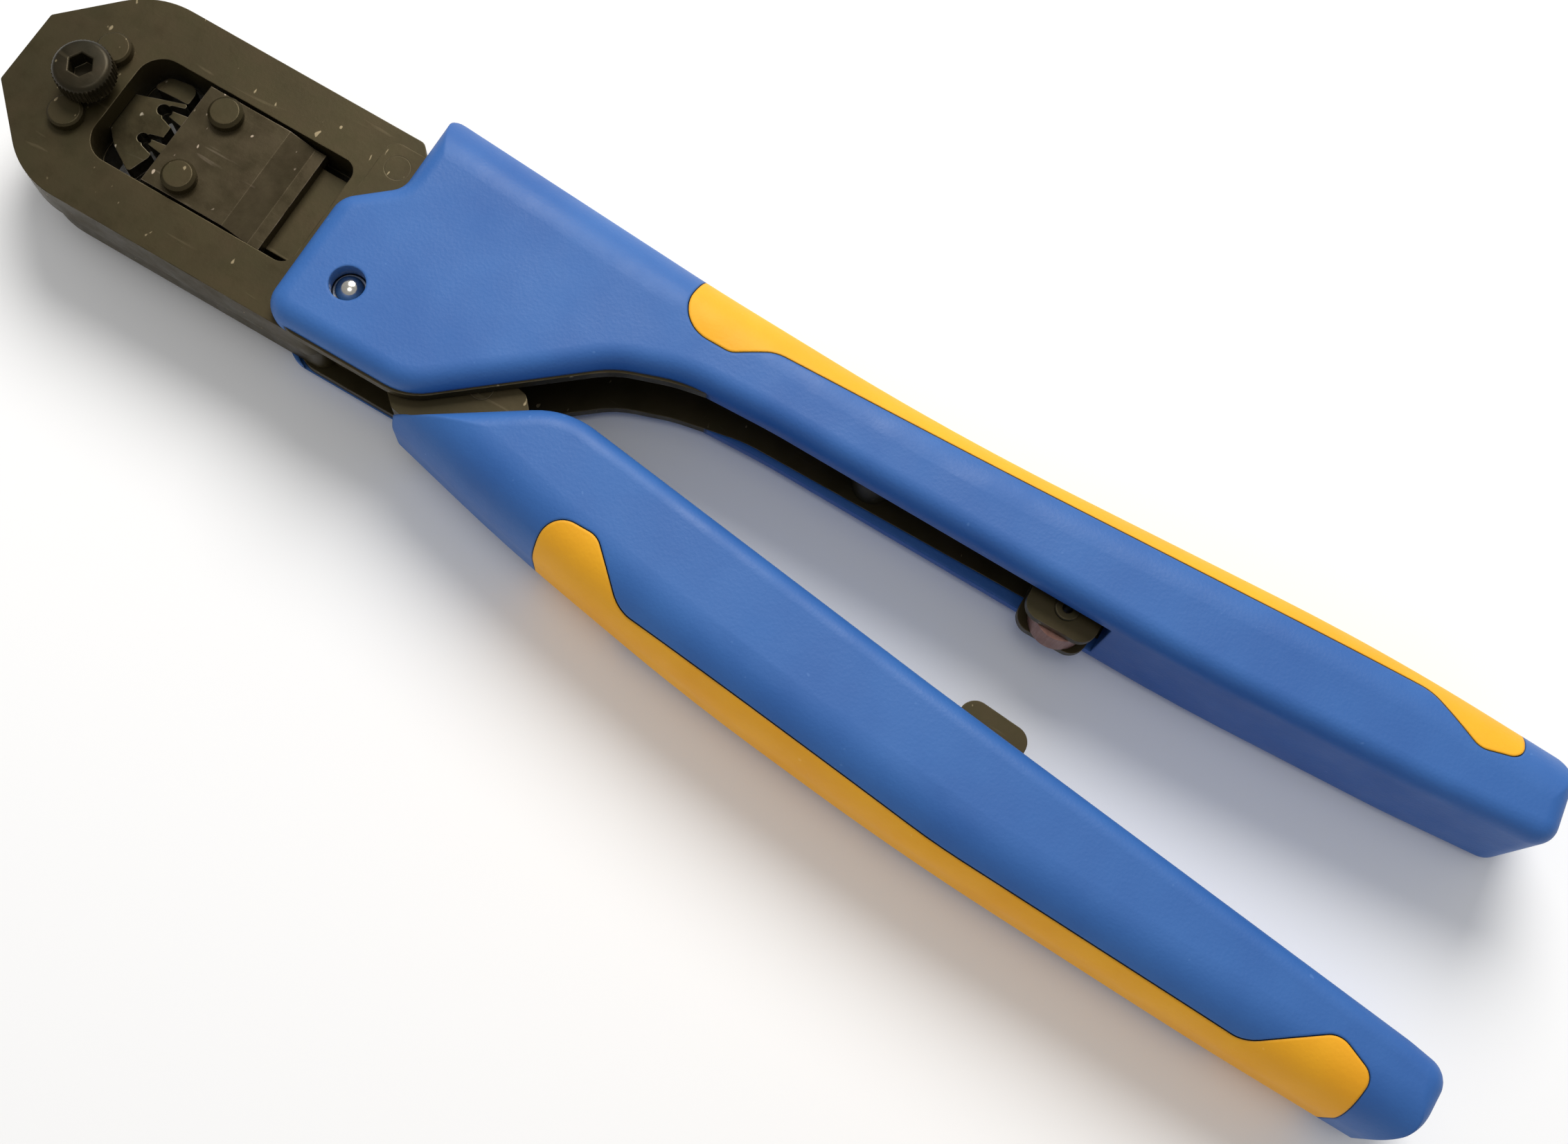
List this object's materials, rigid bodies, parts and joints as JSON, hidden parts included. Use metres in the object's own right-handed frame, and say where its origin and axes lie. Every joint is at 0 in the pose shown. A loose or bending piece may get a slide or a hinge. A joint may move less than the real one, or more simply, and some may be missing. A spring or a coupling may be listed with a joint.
{
  "type": "ratchet crimping tool",
  "caption": "Straight-action hand crimping tool: steel head with an open window, sliding ram and dies, and two moulded handles with soft inlays.",
  "frame": {"origin": "on the handle pivot's axis, in the plane that the tool lies on (the rear face of the fixed grip's hub)", "axes": "+X from the head's tip to the handle ends, +Y from the pivot towards the fixed handle, +Z out of the front face"},
  "size_m": [0.2231, 0.0564, 0.021],
  "materials": {
    "black_steel": "black oxide steel, satin, oiled",
    "die_steel": "ground tool steel",
    "bright_steel": "polished pin steel",
    "spring_steel": "drawn spring wire",
    "bronze": "sintered bronze, dull",
    "blue_plastic": "moulded nylon, fine matte grain",
    "orange_rubber": "soft overmoulded elastomer, fine matte grain"
  },
  "bodies": {
    "frame": {"front_head_plate": "black_steel", "rear_head_plate": "black_steel", "front_side_plate": "black_steel", "rear_side_plate": "black_steel", "frame_rivets": "black_steel", "pivot_pin": "bright_steel", "locator_pins": "black_steel", "locator_screw": "black_steel", "wire_crimper": "die_steel", "insulation_crimper": "die_steel", "crimper_pad": "die_steel", "tail_spacers": "black_steel", "tail_rivets": "black_steel", "pawl_pin": "bright_steel", "spring_post": "bright_steel", "stop_bracket": "black_steel", "stop_pin": "die_steel", "bracket_washers": "black_steel", "pawl_spring": "spring_steel", "return_spring": "spring_steel", "fixed_grip": "blue_plastic", "fixed_grip_insert": "orange_rubber"},
    "ram": {"ram": "black_steel", "front_ram_cover": "black_steel", "rear_ram_cover": "black_steel", "ram_rivets": "black_steel", "wire_anvil": "die_steel", "insulation_anvil": "die_steel", "anvil_pin": "bright_steel"},
    "moving_handle": {"cam_plate": "die_steel", "pivot_bushing": "bronze", "moving_channel": "black_steel", "cam_rivets": "black_steel", "cam_spring_post": "bright_steel", "stop_tab": "black_steel", "moving_grip": "blue_plastic", "moving_grip_insert": "orange_rubber", "moving_grip_pin": "bright_steel"},
    "pawl": {"pawl": "die_steel"},
    "stop_roller": {"stop_roller": "bronze"}
  },
  "joints": [
    {"name": "handle_hinge", "type": "hinge", "parent": "frame", "child": "moving_handle", "pos_m": [0, 0, 0.01], "axis": [0, 0, 1], "range_deg": [-28, 6.8], "deforming": ["return_spring"]},
    {"name": "ram_slide", "type": "slide", "parent": "frame", "child": "ram", "axis": [-1, 0, 0], "range_m": [-0.0037, 0.0009]},
    {"name": "pawl_hinge", "type": "hinge", "parent": "frame", "child": "pawl", "pos_m": [0.0147, 0.0163, 0.01], "axis": [0, 0, -1], "range_deg": [0, 15], "stiffness_Nm_per_rad": 0.01},
    {"name": "roller_spin", "type": "hinge", "parent": "frame", "child": "stop_roller", "pos_m": [0.1004, 0.012, 0.01], "axis": [0, 0, 1], "continuous": true}
  ],
  "couplings": [
    {"joint": "ram_slide", "follows": "handle_hinge", "m_per_rad": 0.0074}
  ]
}
